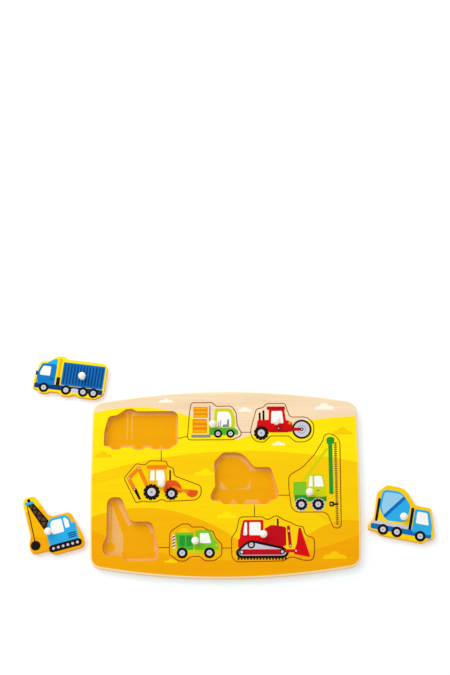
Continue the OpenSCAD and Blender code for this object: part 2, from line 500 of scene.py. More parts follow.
@dataclass(frozen=True)
class PegPaint:
    """White satin paint on a turned peg, a little uneven where it ran and over the rings of the turning."""

    name: str = "peg_paint"
    runs: Triple = (260.0, 260.0, 90.0)
    rings: Triple = (60.0, 60.0, 2400.0)
    detail: float = 2.0
    uneven: Span = (0.3, 0.75)
    shows: Span = (0.3, 0.7)
    rough: Span = (0.26, 0.38)
    shine: float = 0.5
    coat: float = 0.25
    coat_rough: float = 0.2
    relief: float = 0.012

    def material(self) -> Material:
        """Makes the material.

        Returns:
            The finished material.
        """
        shader = Shader(self.name)
        place = shader.own_place()
        runs = shader.noise(place, self.runs, self.detail)
        rings = shader.noise(place, self.rings, self.detail)
        shade = shader.span(runs, self.uneven, WHOLE)
        return shader.dress(
            Base_Color=shader.mix(shade, Ground.PEG_WHITE.light, Ground.PEG_SHADE.light),
            Roughness=shader.span(runs, self.shows, self.rough),
            Specular_IOR_Level=self.shine,
            Coat_Weight=self.coat,
            Coat_Roughness=self.coat_rough,
            Normal=shader.bump(rings, self.relief),
        )


@dataclass(frozen=True)
class StudioFloor:
    """Pale matt sheet of a light table under the puzzle."""

    name: str = "studio_floor"
    fibres: Triple = (30.0, 30.0, 30.0)
    detail: float = 3.0
    rough: float = 0.9
    shine: float = 0.1
    glow: float = 0.16

    def material(self) -> Material:
        """Makes the material.

        Returns:
            The finished material.
        """
        shader = Shader(self.name)
        fibres = shader.noise(shader.own_place(), self.fibres, self.detail)
        return shader.dress(
            Base_Color=shader.mix(fibres, Ground.FLOOR.light, Ground.FLOOR_SHADE.light),
            Roughness=self.rough,
            Specular_IOR_Level=self.shine,
            Emission_Strength=self.glow,
        )


class Finishes:
    """Every material of the puzzle, each made once."""

    def __init__(self) -> None:
        """Makes the materials that every board has."""
        self.scene = PrintedScene().material()
        self.face = BirchFace("birch_face", Ground.BIRCH, Ground.BIRCH_PORE).material()
        # Well floors: birch with painted shade and painted orange bounce light
        self.well = BirchFace("well_floor", Ground.WELL, Ground.WELL_PORE).material()
        self.edge = BirchEdge("birch_edge", Ground.SAPWOOD, Ground.CROSS_PLY).material()
        # Sawn walls of wells and tiles: birch edge with painted orange bounce light
        self.sawn = BirchEdge("sawn_birch", Ground.SAWN, Ground.SAWN_CROSS).material()
        self.peg = PegPaint().material()
        self.floor = StudioFloor().material()
        self.inks: dict[Ink, Material] = {}

    def ink(self, ink: Ink) -> Material:
        """Gives the material of an ink, made at its first use.

        Args:
            ink: Colour that is wanted.

        Returns:
            Its material.
        """
        if ink not in self.inks:
            self.inks[ink] = PrintedInk(ink).material()
        return self.inks[ink]


class Rounds(Enum):
    """What a round is laid on."""

    EDGES = "EDGES"
    CORNERS = "VERTICES"


def rounded(shape: Shape, kind: Rounds, parts: Sequence[Element], width: float, steps: int) -> Faces:
    """Rounds edges or corners over.

    Args:
        shape: Shape that they belong to.
        kind: Which of the two they are.
        parts: Edges or corners to round.
        width: Width of the round, in the shape's own unit.
        steps: Number of faces across it.

    Returns:
        The faces of the round.
    """
    made = bmesh.ops.bevel(
        shape,
        geom=list(parts),
        offset=width,
        offset_type="OFFSET",
        affect=kind.value,
        segments=steps,
        profile=0.5,
        material=-1,
        clamp_overlap=True,
    )
    return made["faces"]


def make_piece(name: str, shape: Shape, finishes: Materials, home: Matrix = HERE) -> Object:
    """Turns a shape into an object of the scene.

    Args:
        name: Name of the piece.
        shape: Shape in metres, in the frame of the part. It is used up.
        finishes: Materials in the order of the faces' numbers.
        home: Carries a point of the piece to where it would lie with its tile in the board.

    Returns:
        The new object.
    """
    mesh = bpy.data.meshes.new(name)
    shape.to_mesh(mesh)
    shape.free()
    for finish in finishes:
        mesh.materials.append(finish)
    places = [part for vertex in mesh.vertices for part in home @ vertex.co]
    mesh.attributes.new(BOARD_PLACE, "FLOAT_VECTOR", "POINT").data.foreach_set("vector", places)
    piece = bpy.data.objects.new(name, mesh)
    bpy.context.scene.collection.objects.link(piece)
    LOG.info("%s: %d faces", name, len(mesh.polygons))
    return piece


def assign(piece: Object, body: str, node: str | None = None) -> None:
    """Says what a piece belongs to.

    Args:
        piece: Piece to assign.
        body: Body that it rides on.
        node: Node that it stands in for, if it stands in for one.
    """
    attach(piece, body)
    if node:
        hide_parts(node)


def anywhere(place: Vector) -> bool:
    """Chooses every place."""
    return True


class Sheet:
    """A copy of one sheet of the part, joined up and with each flat face in as few pieces as it can have."""

    FLAT_ANGLE = math.radians(0.3)
    CREASE_ANGLE = math.radians(40)
    # A face whose normal has this height is flat
    FLAT = 0.9999

    def __init__(self, node: str) -> None:
        """Copies the sheet.

        Args:
            node: Name of the sheet's node.
        """
        self.node = node
        self.under, self.face = (corner.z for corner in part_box(node))
        self.shape = bmesh.new()
        self.shape.from_mesh(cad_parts[node].data)
        bmesh.ops.remove_doubles(self.shape, verts=self.shape.verts[:], dist=TOUCH)
        parts = {"verts": self.shape.verts[:], "edges": self.shape.edges[:]}
        bmesh.ops.dissolve_limit(self.shape, angle_limit=self.FLAT_ANGLE, **parts)

    def number_faces(self, top: int, wall: int, under: int) -> None:
        """Gives each face the number of its finish, by the way that it faces.

        Args:
            top: Number of the faces that look up.
            wall: Number of the upright faces.
            under: Number of the faces that look down.
        """
        for face in self.shape.faces:
            face.material_index = wall
            if abs(face.normal.z) > WALL:
                face.material_index = top if face.normal.z > 0 else under

    def soften(
        self, height: float, width: float, steps: int, finish: int | None = None, chosen: Chooser = anywhere
    ) -> None:
        """Rounds the sharp edges at one height over and dresses the round.

        Args:
            height: Height of the edges, in metres.
            width: Width of the round.
            steps: Number of faces across it.
            finish: Number of its finish, where it isn't its neighbour's.
            chosen: Says whether an end of an edge belongs to the stretch that is wanted.
        """
        edges = [
            edge
            for edge in self.shape.edges
            if all(abs(end.co.z - height) < TOUCH and chosen(end.co) for end in edge.verts)
            and any(abs(side.normal.z) < WALL for side in edge.link_faces)
        ]
        faces = rounded(self.shape, Rounds.EDGES, edges, width * MM, steps)
        if finish is not None:
            for face in faces:
                face.material_index = finish

    def done(self, name: str, body: str, finishes: Materials, home: Matrix = HERE) -> None:
        """Makes the sheet a piece in place of its node, with only its walls and rounds shaded smoothly.

        Args:
            name: Name of the piece.
            body: Body that it rides on.
            finishes: Materials in the order of the faces' numbers.
            home: Carries a point of the piece to where it would lie with its tile in the board.
        """
        for face in self.shape.faces:
            face.smooth = abs(face.normal.z) < self.FLAT
        for edge in self.shape.edges:
            if edge.is_manifold and edge.calc_face_angle() > self.CREASE_ANGLE:
                edge.smooth = False
        assign(make_piece(name, self.shape, finishes, home), body, self.node)


@dataclass
class Board:
    """The printed sheet with its wells and the backing sheet under it."""

    finishes: Finishes
    body: str = "board"
    rim_round: float = 1.9
    rim_steps: int = 6
    well_round: float = 0.2
    well_steps: int = 2
    glue_line_round: float = 0.15
    glue_line_steps: int = 1
    foot_round: float = 0.9
    keys_a_mm: int = 100

    def key(self, place: Vector) -> tuple[int, int]:
        """Gives a place along X and Y as whole numbers, by which equal places are told."""
        return (round(place.x / MM * self.keys_a_mm), round(place.y / MM * self.keys_a_mm))

    def rim(self) -> set[tuple[int, int]]:
        """Gives the keys of the rim's points."""
        return {self.key(vertex.co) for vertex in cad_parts["backing_board"].data.vertices}

    def build_top(self) -> None:
        """Builds the printed sheet: bare rounded rim, printed face, sawn wells."""
        printed, bare, sawn, face_wood = range(4)
        rim = self.rim()

        def on_rim(place: Vector) -> bool:
            """Tells the rim from the wells."""
            return self.key(place) in rim

        def off_rim(place: Vector) -> bool:
            """Tells the wells from the rim."""
            return not on_rim(place)

        sheet = Sheet("top_board")
        sheet.number_faces(printed, sawn, face_wood)
        for face in sheet.shape.faces:
            if face.material_index == sawn and all(on_rim(vertex.co) for vertex in face.verts):
                face.material_index = bare
        sheet.soften(sheet.face, self.well_round, self.well_steps, sawn, off_rim)
        sheet.soften(sheet.face, self.rim_round, self.rim_steps, bare, on_rim)
        sheet.soften(sheet.under, self.glue_line_round, self.glue_line_steps, None, on_rim)
        # The sawn walls of the wells carry painted orange bounce light
        materials = (self.finishes.scene, self.finishes.edge, self.finishes.sawn, self.finishes.face)
        sheet.done("printed_board", self.body, materials)

    def build_backing(self) -> None:
        """Builds the backing sheet: bare faces and rounded lower edge."""
        face_wood, bare, floor = range(3)
        sheet = Sheet("backing_board")
        sheet.number_faces(floor, bare, face_wood)
        sheet.soften(sheet.under, self.foot_round, self.rim_steps, bare)
        sheet.soften(sheet.face, self.glue_line_round, self.glue_line_steps)
        # The well floors take the birch with painted shade and painted orange bounce light
        materials = (self.finishes.face, self.finishes.edge, self.finishes.well)
        sheet.done("backing_sheet", self.body, materials)

    def build(self) -> None:
        """Builds both sheets."""
        self.build_backing()
        self.build_top()


def moved_out(corners: Sequence[Point], distance: float) -> list[tuple[float, ...]]:
    """Moves the sides of an area outwards.

    Args:
        corners: Corners of the area, in order.
        distance: How far each side moves.

    Returns:
        The new corners.
    """
    points = [Vector(corner) for corner in corners]
    before, after = points[-1:] + points[:-1], points[1:] + points[:1]
    area = sum(a.x * b.y - a.y * b.x for a, b in zip(points, after))
    moved = []
    for last, point, following in zip(before, points, after):
        sides = [(point - last).normalized(), (following - point).normalized()]
        out, on = [Vector((side.y, -side.x)) * math.copysign(1.0, area) for side in sides]
        moved.append(tuple(point + (out + on) * distance / (1 + out.dot(on))))
    return moved


@dataclass(frozen=True)
class Mark:
    """A shape that can be printed."""

    def moved(self, x: float, y: float) -> "Mark":
        """Gives the same shape in another place."""
        raise NotImplementedError

    def flat(self, spread: float) -> Shape:
        """Makes the shape as one flat face at height zero, with its sides moved out by the spread."""
        raise NotImplementedError

    def row(self, count: int, step: Point) -> list["Mark"]:
        """Repeats the shape, each time a step on."""
        return [self.moved(step[0] * turn, step[1] * turn) for turn in range(count)]


@dataclass(frozen=True)
class Area(Mark):
    """An area with straight sides, whose corners are rounded that far along them."""

    rounding: float
    corners: tuple[Point, ...]

    def moved(self, x: float, y: float) -> "Area":
        """Gives the same area in another place."""
        return Area(self.rounding, tuple((left + x, lower + y) for left, lower in self.corners))

    def flat(self, spread: float) -> Shape:
        """Makes the area as one flat face at height zero.

        Args:
            spread: How far its sides move out.

        Returns:
            The new shape.
        """
        shape = bmesh.new()
        shape.faces.new([shape.verts.new((*corner, 0.0)) for corner in moved_out(self.corners, spread)])
        if self.rounding:
            rounded(shape, Rounds.CORNERS, shape.verts[:], self.rounding, CORNER_STEPS)
        return shape


@dataclass(frozen=True)
class Disc(Mark):
    """A round spot."""

    middle: Point
    radius: float

    def moved(self, x: float, y: float) -> "Disc":
        """Gives the same spot in another place."""
        return Disc((self.middle[0] + x, self.middle[1] + y), self.radius)

    def flat(self, spread: float) -> Shape:
        """Makes the spot as one flat face at height zero.

        Args:
            spread: How far its edge moves out.

        Returns:
            The new shape.
        """
        shape = bmesh.new()
        place = Matrix.Translation((*self.middle, 0.0))
        radius = self.radius + spread
        bmesh.ops.create_circle(shape, cap_ends=True, segments=DISC_SIDES, radius=radius, matrix=place)
        return shape


def area(rounding: float, *corners: Point) -> Area:
    """Gives an area with straight sides between its corners."""
    return Area(rounding, corners)


def box(left: float, lower: float, right: float, upper: float, rounding: float = 0.0) -> Area:
    """Gives an upright rectangle."""
    return area(rounding, (left, lower), (right, lower), (right, upper), (left, upper))


def bar(start: Point, end: Point, width: float, rounding: float = 0.0) -> Area:
    """Gives a straight bar.

    Args:
        start: Middle of one end.
        end: Middle of the other end.
        width: Width of the bar.
        rounding: How far its corners are rounded.

    Returns:
        The bar's area.
    """
    first, last = Vector(start), Vector(end)
    aside = (last - first).orthogonal().normalized() * width / 2
    corners = (first + aside, last + aside, last - aside, first - aside)
    return area(rounding, *(tuple(corner) for corner in corners))


def discs(middles: Sequence[Point], radius: float) -> list[Disc]:
    """Gives a round spot on each middle."""
    return [Disc(middle, radius) for middle in middles]


def linkage(joints: Sequence[Point], width: float, rounding: float) -> list[Mark]:
    """Gives a chain of bars between its joints, each with the knuckle at its far end."""
    links = [(bar(*ends, width, rounding), Disc(ends[1], width / 2)) for ends in zip(joints, joints[1:])]
    return [mark for link in links for mark in link]


def lattice(rails: tuple[Segment, Segment], braces: int, width: float) -> list[Area]:
    """Gives the two rails of a lattice boom, and then the braces that zigzag between them.

    Args:
        rails: Ends of the rails.
        braces: Number of the braces.
        width: Width of every bar.

    Returns:
        The bars.
    """
    knots = []
    for step in range(braces + 1):
        start, end = rails[step % 2]
        knots.append(tuple(Vector(start).lerp(Vector(end), step / braces)))
    return [bar(*ends, width) for ends in (*rails, *zip(knots, knots[1:]))]


@dataclass
class Brush:
    """Prints marks as thin closed films of ink, each level a little higher than the one under it.

    A stencil prints every mark in its one ink and on one level. No two films are equally high, so that none
    flickers through another.
    """

    film: float
    stencil: Ink | None = None
    spread: float = 0.0
    overlap: float = 0.001
    films: int = 0
    shape: Shape = field(default_factory=bmesh.new)
    inks: list[Ink] = field(default_factory=list)

    def press(self, level: int, ink: Ink, mark: Mark) -> None:
        """Thickens a mark into a film and adds it to the picture.

        Args:
            level: Level of the film, from 1 up.
            ink: Ink of the film.
            mark: Shape of the film.
        """
        used = self.stencil or ink
        if used not in self.inks:
            self.inks.append(used)
        self.films += 1
        thickness = self.film * (1 if self.stencil else level) + self.overlap * self.films
        flat = mark.flat(self.spread)
        raised = bmesh.ops.extrude_face_region(flat, geom=flat.faces[:])["geom"]
        tops = [part for part in raised if isinstance(part, bmesh.types.BMVert)]
        bmesh.ops.translate(flat, verts=tops, vec=(0.0, 0.0, thickness))
        bmesh.ops.recalc_face_normals(flat, faces=flat.faces[:])
        for face in flat.faces:
            face.material_index = self.inks.index(used)
        carrier = bpy.data.meshes.new("film")
        flat.to_mesh(carrier)
        flat.free()
        self.shape.from_mesh(carrier)
        bpy.data.meshes.remove(carrier)


class Part:
    """A part of a picture."""

    def lay(self, brush: Brush) -> None:
        """Prints the part."""
        raise NotImplementedError


class Print(Part):
    """Marks in one ink on one level."""

    def __init__(self, level: int, ink: Ink, *marks: Mark) -> None:
        """Keeps the marks.

        Args:
            level: Level of the marks, from 1 up.
            ink: Ink of the marks.
            marks: Shapes of the marks, in the order of printing.
        """
        self.level = level
        self.ink = ink
        self.marks = marks

    def lay(self, brush: Brush) -> None:
        """Prints the marks."""
        for mark in self.marks:
            brush.press(self.level, self.ink, mark)


class Detail(Print):
    """Marks that a stencil leaves out."""

    def lay(self, brush: Brush) -> None:
        """Prints the marks, unless the brush has a stencil."""
        if not brush.stencil:
            super().lay(brush)


@dataclass(frozen=True)
class Rings(Part):
    """Round spots on each middle, each with its ink and radius and a level above the last."""

    level: int
    middles: tuple[Point, ...]
    rings: tuple[tuple[Ink, float], ...]

    def lay(self, brush: Brush) -> None:
        """Prints the spots, one middle after the other.

        Args:
            brush: Brush to print with.
        """
        for middle in self.middles:
            for rise, (ink, radius) in enumerate(self.rings):
                brush.press(self.level + rise, ink, Disc(middle, radius))


@dataclass(frozen=True)
class Wheels(Part):
    """Wheels in a line: tyres with hubs, and lugs on a tractor's tyres.

    The lugs are shares of the tyre, and the axle is a share of the hub.
    """

    level: int
    axles: tuple[float, ...]
    height: float
    tyre: float
    hub: float
    lugs: int = 0
    lug_width: float = 0.42
    lug_reach: float = 1.12
    axle_share: float = 0.26

    def lay(self, brush: Brush) -> None:
        """Prints the wheels, one after the other.

        Args:
            brush: Brush to print with.
        """
        rings = ((Ink.SILVER, self.hub), (Ink.GREY, self.hub * self.axle_share))
        for axle in self.axles:
            middle = (axle, self.height)
            brush.press(self.level, Ink.BLACK, Disc(middle, self.tyre))
            for lug in range(self.lugs):
                reach = Vector((self.tyre, 0.0))
                reach.rotate(Matrix.Rotation(math.tau * lug / self.lugs, 2))
                tip = tuple(Vector(middle) + reach * self.lug_reach)
                brush.press(self.level, Ink.BLACK, bar(middle, tip, self.tyre * self.lug_width))
            Rings(self.level + 1, (middle,), rings).lay(brush)


@dataclass(frozen=True)
class Peg:
    """A turned peg: a tenon in the tile, a waist and a round head.

    The waist is the radius of its points and their height above the tile's face.
    """

    tenon: float = 2.45
    tenon_drop: float = 0.02
    waist: tuple[Point, ...] = ((3.1, 0), (3.05, 0.5), (2.83, 1.2), (2.75, 2.6))
    throat: float = 3.0
    arc_steps: int = 12
    sides: int = 48

    def profile(self, vehicle: str) -> list[Point]:
        """Gives half of the peg's section, from the tenon's end up to the top of the head.

        Args:
            vehicle: Name of the vehicle that has the peg.

        Returns:
            Radius and height above the tile's underside of each point.
        """
        low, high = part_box(f"{vehicle}_peg")
        under, face = (corner.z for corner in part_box(f"{vehicle}_tile"))
        bottom, sheet, top = ((height - under) / MM for height in (low.z, face, high.z))
        head = (high.x - low.x) / 2 / MM
        points = [(0.0, bottom), (self.tenon, bottom), (self.tenon, sheet - self.tenon_drop)]
        points += [(radius, sheet + height) for radius, height in self.waist]
        start = -math.acos(min(1.0, self.throat / head))
        for step in range(self.arc_steps + 1):
            angle = start + (math.pi / 2 - start) * step / self.arc_steps
            points.append((head * math.cos(angle), top - head + head * math.sin(angle)))
        return points

    def shape(self, vehicle: str) -> Shape:
        """Turns the peg on its own axis, in millimetres.

        Args:
            vehicle: Name of the vehicle that has the peg.

        Returns:
            The new shape.
        """
        shape = bmesh.new()
        points = [shape.verts.new((radius, 0.0, height)) for radius, height in self.profile(vehicle)]
        edges = [shape.edges.new(pair) for pair in zip(points, points[1:])]
        bmesh.ops.spin(
            shape,
            geom=points + edges,
            cent=(0.0, 0.0, 0.0),
            axis=(0.0, 0.0, 1.0),
            angle=math.tau,
            steps=self.sides,
            use_merge=True,
        )
        bmesh.ops.remove_doubles(shape, verts=shape.verts[:], dist=TOUCH / MM)
        bmesh.ops.recalc_face_normals(shape, faces=shape.faces[:])
        for face in shape.faces:
            face.smooth = True
        return shape


@dataclass
class Vehicle:
    """One tile of the puzzle: the sawn tile, its peg, its picture and the print on the floor of its well.

    The parts of its picture are printed in the order in which its class names them. Its turn is degrees.
    """

    finishes: Finishes
    name: str
    spot: Point
    turn: float = 0.0
    top_round: float = 0.4
    top_steps: int = 3
    foot_round: float = 0.3
    foot_steps: int = 1
    tile_film: float = 0.035
    well_film: float = 0.02
    well_spread: float = 0.3
    well_shift: float = 0.5
    hole_reach: float = 4.0
    peg: Peg = Peg()

    def middle(self) -> Vector:
        """Gives the place of the peg's axis at the height of the tile's underside, in metres."""
        low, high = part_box(f"{self.name}_peg")
        return Vector((*((low + high) / 2).xy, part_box(f"{self.name}_tile")[0].z))

    def at_rest(self) -> Matrix:
        """Carries a point of the tile's own drawing, in millimetres, to where the tile lies."""
        turned = Matrix.Translation(self.middle()) @ Matrix.Rotation(math.radians(self.turn), 4, "Z")
        return turned @ Matrix.Scale(MM, 4)

    def in_board(self) -> Matrix:
        """Carries a point of the tile's own drawing, in millimetres, to its place in the board."""
        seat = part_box(SEATED_TILE)[0].z
        return Matrix.Translation((self.spot[0] * MM, self.spot[1] * MM, seat)) @ Matrix.Scale(MM, 4)

    def home(self) -> Matrix:
        """Carries a point of the tile as it lies to where it would be in the board."""
        return self.in_board() @ self.at_rest().inverted()

    def build_tile(self) -> None:
        """Builds the tile: printed face, sawn edge, bare underside."""
        printed, sawn, face_wood = range(3)
        middle = self.middle()

        def outer(place: Vector) -> bool:
            """Tells the tile's own outline from its peg hole."""
            return (place - middle).xy.length > self.hole_reach * MM

        sheet = Sheet(f"{self.name}_tile")
        sheet.number_faces(printed, sawn, face_wood)
        sheet.soften(sheet.face, self.top_round, self.top_steps, printed, outer)
        sheet.soften(sheet.under, self.foot_round, self.foot_steps, sawn, outer)
        # The tile's sawn edge carries painted orange bounce light
        materials = (self.finishes.scene, self.finishes.sawn, self.finishes.face)
        sheet.done(f"{self.name}_board", self.name, materials, self.home())

    def build_peg(self) -> None:
        """Builds the turned peg."""
        shape = self.peg.shape(self.name)
        bmesh.ops.transform(shape, matrix=self.at_rest(), verts=shape.verts[:])
        piece = make_piece(f"{self.name}_turned_peg", shape, (self.finishes.peg,), self.home())
        assign(piece, self.name, f"{self.name}_peg")

    def printed(self, name: str, brush: Brush, place: Matrix, home: Matrix) -> Object:
        """Prints the vehicle.

        Args:
            name: Name of the print.
            brush: Brush to print it with.
            place: Carries a point of the drawing to where the print lies.
            home: Carries a point of the print to where it would lie with its tile in the board.

        Returns:
            The new object.
        """
        for item in fields(self):
            part = getattr(self, item.name)
            if isinstance(part, Part):
                part.lay(brush)
        bmesh.ops.transform(brush.shape, matrix=place, verts=brush.shape.verts[:])
        return make_piece(name, brush.shape, [self.finishes.ink(ink) for ink in brush.inks], home)

    def build_picture(self) -> None:
        """Builds the picture on the tile."""
        low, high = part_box(f"{self.name}_tile")
        lift = Matrix.Translation((0.0, 0.0, high.z - low.z)) @ self.at_rest()
        piece = self.printed(f"{self.name}_picture", Brush(self.tile_film), lift, self.home())
        assign(piece, self.name)

    def build_well_print(self) -> None:
        """Builds the one-colour print on the floor of the well, where the vehicle belongs."""
        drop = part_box("backing_board")[1].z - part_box(SEATED_TILE)[0].z
        place = Matrix.Translation((0.0, self.well_shift * MM, drop)) @ self.in_board()
        brush = Brush(self.well_film, Ink.TANGERINE, self.well_spread)
        assign(self.printed(f"{self.name}_well_print", brush, place, HERE), "board")

    def build(self) -> None:
        """Builds the tile, its peg and both prints."""
        self.build_tile()
        self.build_peg()
        self.build_picture()
        self.build_well_print()


@dataclass
class Truck(Vehicle):
    """A blue lorry with a ribbed box body."""

    name: str = "truck"
    spot: Point = (-80, 63.25)
    turn: float = -7.5
    chassis: Part = Print(1, Ink.NAVY, box(-53, -18, 25, -12, 1.5))
    stack: Part = Print(1, Ink.AMBER, box(-28.6, -3, -25.4, 19, 1.2))
    stack_foot: Part = Print(1, Ink.BLACK, box(-29, -12.5, -24.8, -3, 0.6))
    fairing: Part = Print(1, Ink.SKY, area(1, (-44, 11), (-30.5, 11), (-30.5, 18), (-34, 18)))
    body: Part = Print(1, Ink.BLUE, box(-23.5, -11.5, 24.5, 15.5, 1))
    cab: Part = Print(
        2, Ink.AZURE, area(2, (-51.5, -13), (-30.5, -13), (-30.5, 11.5), (-47.5, 11.5), (-51.5, 1))
    )
    tank: Part = Print(2, Ink.SILVER, box(-10.5, -19, -2.5, -14, 1.5))
    ribs: Part = Print(2, Ink.NAVY, *box(-21.5, -9.5, -20, 13.5, 0.5).row(13, (3.55, 0)))
    window: Part = Print(
        3, Ink.WHITE, area(1.2, (-48.5, -2.5), (-37, -2.5), (-37, 8.5), (-45.8, 8.5), (-48.5, 1.5))
    )
    mirror: Part = Print(3, Ink.NAVY, box(-53.4, -3.2, -51.2, 1.8, 0.8))
    handle: Part = Print(3, Ink.NAVY, box(-36, -6.6, -32.6, -5.2, 0.5))
    lamp: Part = Print(3, Ink.ORANGE, box(-52.4, -11, -50, -8.2, 0.8))
    wheels: Part = Wheels(3, (-42, -16.5, 3, 14.8), -16.8, 5.6, 2.9)


@dataclass
class Forklift(Vehicle):
    """A yellow-green forklift with two crates on a pallet."""

    name: str = "forklift"
    spot: Point = (-13.5, 66.25)
    pallet: Part = Print(1, Ink.GREY, box(-24, -14, -3.5, -10.5, 0.6))
    mast: Part = Print(1, Ink.GREY, box(-4, -14, -2.3, 22.5, 0.6))
    crates: Part = Print(1, Ink.ORANGE, box(-21.5, 9, -5.5, 21.5, 0.8), box(-22.5, -8.5, -6.5, 7.5, 0.8))
    canopy: Part = Print(1, Ink.LIME, area(2.5, (1, -4), (25, -4), (25, 11), (20.5, 19.5), (2.5, 19.5)))
    upper_slats: Part = Print(2, Ink.AMBER, *box(-20.3, 10.2, -6.7, 12.2, 0.5).row(3, (0, 12.5 / 3)))
    lower_slats: Part = Print(2, Ink.AMBER, *box(-21.3, -7.3, -7.7, -5.3, 0.5).row(3, (0, 16 / 3)))
    window: Part = Print(2, Ink.WHITE, area(1.8, (4.5, -1.5), (21, -1.5), (21, 10), (18, 16), (5.5, 16)))
    seat: Part = Print(
        3, Ink.GREY, area(0.6, (11.5, -2), (18.5, -2), (18.5, 7), (16.5, 7), (16, 1), (11.5, 1))
    )
    levers: Part = Print(3, Ink.GREY, bar((6.4, -2), (6.9, 4.6), 0.9), bar((8.6, -2), (9.3, 6.2), 0.9))
    base: Part = Print(3, Ink.GREEN, area(1.5, (-3, -11), (28.5, -11), (28.5, -6), (24, -3), (-3, -3)))
    wheels: Part = Wheels(4, (6, 20), -9.5, 4.7, 2.5)


@dataclass
class Roller(Vehicle):
    """A red road roller."""

    name: str = "roller"
    spot: Point = (58, 69.25)
    stacks: Part = Print(1, Ink.BLACK, box(-19.7, 2, -17.4, 11.5, 0.5), box(-15.4, 2, -13.1, 14, 0.5))
    cab: Part = Print(1, Ink.RED, area(1, (-9, -2), (11.5, -2), (9, 16), (-8, 16)))
    body: Part = Print(2, Ink.RED, area(2, (-23, -11), (18, -11), (18, 0), (11, 3), (-21, 3)))
    roof: Part = Print(2, Ink.CRIMSON, box(-10.5, 14.5, 10, 18.5, 1.2))
    drum: Part = Rings(
        2, ((28.5, -8),), ((Ink.BLACK, 11), (Ink.SILVER, 8.8), (Ink.GREY, 4.8), (Ink.SILVER, 4.2))
    )
    arm: Part = Print(6, Ink.CRIMSON, bar((12, -8), (28.5, -8), 3.6, 1.6))
    bolts: Part = Rings(7, ((28.5, -8), (2.5, -6.8)), ((Ink.BLACK, 2), (Ink.SILVER, 0.9)))
    window: Part = Print(3, Ink.WHITE, area(1.2, (-6, -1), (8.2, -1), (6.6, 13.2), (-5.2, 13.2)))
    skirt: Part = Print(3, Ink.CRIMSON, box(-8, -11.5, 14, -7.5, 1))
    lamp: Part = Print(3, Ink.ORANGE, Disc((15.2, -0.6), 1.7))
    wheels: Part = Wheels(4, (-17,), -12, 7.4, 4, 11)


@dataclass
class Backhoe(Vehicle):
    """An orange backhoe loader."""

    name: str = "backhoe"
    spot: Point = (-70.5, -1.25)
    joints: tuple[Point, ...] = ((-15, -3), (-25.5, 19), (-36.5, 7.5), (-30, -5))
    boom: Part = Print(1, Ink.ORANGE, *linkage(joints, 4.4, 1.2))
    exhaust: Part = Print(1, Ink.BLACK, box(8.6, 4, 10.4, 16.5, 0.5))
    bucket: Part = Print(1, Ink.EMBER, area(2, (24.5, -5), (41, -6.5), (39.5, -12), (34, -15), (28.5, -12)))
    digger: Part = Print(2, Ink.BLACK, area(0.6, (-32, -4), (-28, -3.5), (-22.5, -16.5), (-25, -16.5)))
    cab: Part = Print(2, Ink.AMBER, area(1.5, (-16, -6), (6.5, -6), (6.5, 4), (4.5, 19), (-14.5, 19)))
    hood: Part = Print(2, Ink.EMBER, area(2, (2, -9), (23, -9), (22, -1), (16, 5), (5, 5)))
    roof: Part = Print(3, Ink.ORANGE, box(-16.5, 18, 6, 22.5, 1.5))
    arm: Part = Print(3, Ink.ORANGE, bar((12, -2.5), (30, -8.5), 3.2, 1.2))
    rear_window: Part = Print(3, Ink.WHITE, area(1, (-13, 5), (-8, 5), (-8, 16.5), (-12.2, 16.5)))
    window: Part = Print(3, Ink.WHITE, area(1, (-6, 5), (4, 5), (2.6, 16.5), (-6, 16.5)))
    pins: Part = Print(3, Ink.SILVER, *discs(joints[1:], 0.9))
    rear_wheel: Part = Wheels(4, (-11,), -8, 8.2, 4.6, 11)
    front_wheel: Part = Wheels(4, (11,), -10, 6.4, 3.6, 11)


@dataclass
class Mixer(Vehicle):
    """A sky-blue concrete mixer."""

    name: str = "mixer"
    spot: Point = (21.5, 1.25)
    turn: float = -11
    well_spread: float = 0.9
    drum: Part = Print(
        1, Ink.SKY, area(5, (-27, 27.5), (-7, 28.5), (6.5, 15), (4, -5), (-19, -6.5), (-28.5, 7))
    )
    deck: Part = Print(1, Ink.SILVER, box(-33, -12.5, 12, -8, 1))
    shine: Part = Print(
        1, Ink.PALE_BLUE, area(3, (-1.5, 23), (-8.5, 25.8), (-24.5, 25), (-26, 8.5), (-21, -2.5))
    )
    band: Part = Print(2, Ink.BLUE, bar((-1.5, 23), (-21, -2.5), 3.6, 1))
    posts: Part = Print(2, Ink.BLACK, box(-30.5, -9, -27.6, 17, 1), box(7.4, -17, 10.6, 13, 1))
    chassis: Part = Print(2, Ink.BLUE, box(-34, -18, 33.5, -12, 1.5))
    cab: Part = Print(3, Ink.SKY, area(2, (11.5, -14), (33, -14), (33, -4), (27.5, 12.5), (11.5, 12.5)))
    window: Part = Print(4, Ink.WHITE, area(1.5, (14.5, -3.5), (29, -3.5), (25.4, 9.8), (14.5, 9.8)))
    wheels: Part = Wheels(4, (-20, -4.5, 21.5), -17, 6, 3.1)


